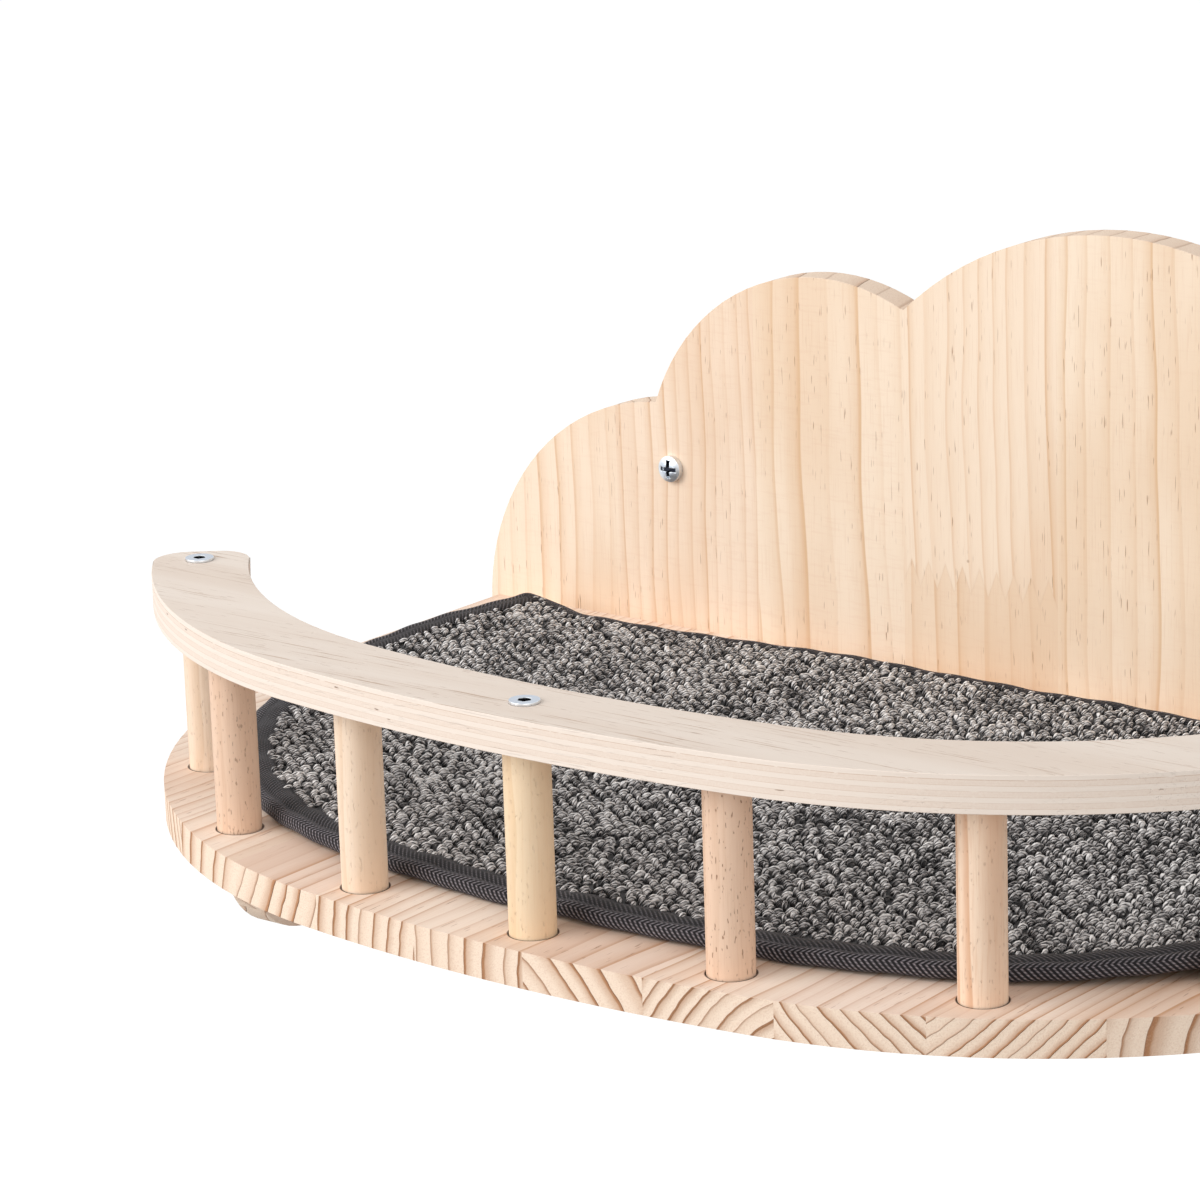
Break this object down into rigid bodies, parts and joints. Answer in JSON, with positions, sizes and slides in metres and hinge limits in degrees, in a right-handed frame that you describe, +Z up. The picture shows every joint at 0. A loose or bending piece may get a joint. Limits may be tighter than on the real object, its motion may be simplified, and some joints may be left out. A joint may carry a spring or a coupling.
{
  "type": "cat wall shelf",
  "caption": "Wall-mounted cat shelf: D-shaped wooden board on brackets, cloud-shaped backboard, curved guard rail on round spindles and a removable loop-pile mat.",
  "frame": {"origin": "on the wall plane (the back of the backboard), midway between the two wall screws", "axes": "+X along the wall to the right seen from the front, +Y into the wall, +Z up"},
  "size_m": [0.536, 0.368, 0.262],
  "materials": {
    "pine_panel": "bare glued pine panel, sanded",
    "plywood": "bare plywood with visible plies on its edges",
    "dowel_wood": "bare turned hardwood and pine rod",
    "zinc_steel": "zinc-plated steel",
    "strip_nylon": "black hook-and-loop strip",
    "felt_backing": "needled felt backing",
    "loop_pile": "mottled grey loop pile",
    "binding_tape": "herringbone binding tape"
  },
  "bodies": {
    "shelf": {"shelf_board": "pine_panel", "backboard": "pine_panel", "top_rail": "plywood", "spindle_1": "dowel_wood", "spindle_2": "dowel_wood", "spindle_3": "dowel_wood", "spindle_4": "dowel_wood", "spindle_5": "dowel_wood", "spindle_6": "dowel_wood", "spindle_7": "dowel_wood", "rail_bolts": "zinc_steel", "rail_inserts": "zinc_steel", "left_bracket": "pine_panel", "right_bracket": "pine_panel", "bracket_top_screws": "zinc_steel", "bracket_back_screws": "zinc_steel", "shelf_back_screws": "zinc_steel", "locating_dowels": "dowel_wood", "wall_screws": "zinc_steel", "hook_strips": "strip_nylon"},
    "mat": {"loop_strips": "strip_nylon", "mat_backing": "felt_backing", "mat_pile": "loop_pile", "mat_binding": "binding_tape"}
  },
  "joints": [
    {"name": "mat_lift", "type": "slide", "parent": "shelf", "child": "mat", "axis": [0, 0, 1], "range_m": [0, 0.15]}
  ]
}
